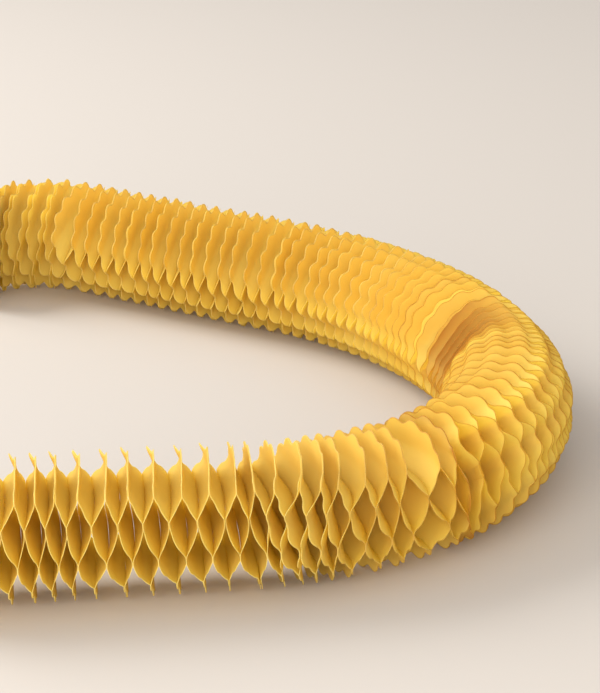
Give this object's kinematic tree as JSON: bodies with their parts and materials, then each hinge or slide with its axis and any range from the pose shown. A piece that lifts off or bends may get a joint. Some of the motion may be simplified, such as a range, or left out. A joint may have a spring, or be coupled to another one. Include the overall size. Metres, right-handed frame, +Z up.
{
  "type": "honeycomb paper garland",
  "caption": "Round honeycomb garland of scalloped yellow tissue paper sheets, pulled open and lying on the floor in a wide hook, with a card disc at each end.",
  "frame": {"origin": "middle of the bounding box's floor side, with the lowest scallop tips on z = 0", "axes": "+Z up, +Y from the front stretch towards the back stretch, +X to the right, towards the bend of the hook"},
  "size_m": [0.7088, 1.173, 0.13],
  "materials": {
    "tissue": "thin translucent tissue paper, matt with a faint waxy sheen, warm yellow",
    "card": "stiff uncoated card, matt, dull yellow"
  },
  "bodies": {
    "root": {"front_tissue_bundle": "tissue", "back_tissue_bundle": "tissue", "front_end_card": "card", "back_end_card": "card"}
  },
  "joints": []
}
